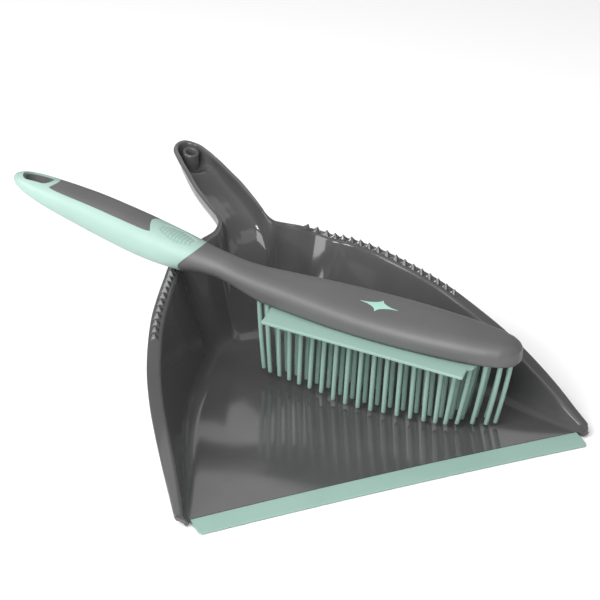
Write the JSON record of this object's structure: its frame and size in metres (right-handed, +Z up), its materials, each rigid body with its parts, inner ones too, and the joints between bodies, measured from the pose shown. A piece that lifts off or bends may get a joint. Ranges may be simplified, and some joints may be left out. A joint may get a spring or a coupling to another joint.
{
  "type": "dust pan and brush set",
  "caption": "Dust pan with a soft lip, comb-toothed rim and channel handle, and a hand brush with rubber fingers, a squeegee blade and a soft grip lying across it.",
  "frame": {"origin": "point on the flat underside of the pan's floor, on its centre line, 100 mm behind the lip's front edge", "axes": "+X along the lip to the right, +Y from the lip towards the pan's handle, +Z up from the floor the pan stands on"},
  "size_m": [0.2511, 0.3195, 0.1007],
  "materials": {
    "grey_plastic": "glossy moulded polypropylene",
    "mint_rubber": "satin thermoplastic elastomer"
  },
  "bodies": {
    "pan": {"pan_shell": "grey_plastic", "pan_lip": "mint_rubber"},
    "brush": {"brush_body": "grey_plastic", "brush_grip": "mint_rubber", "brush_insert": "mint_rubber", "brush_blade": "mint_rubber"}
  },
  "joints": [
    {"name": "brush_lift", "type": "slide", "parent": "pan", "child": "brush", "axis": [0, 0, 1], "range_m": [0, 0.15]}
  ]
}
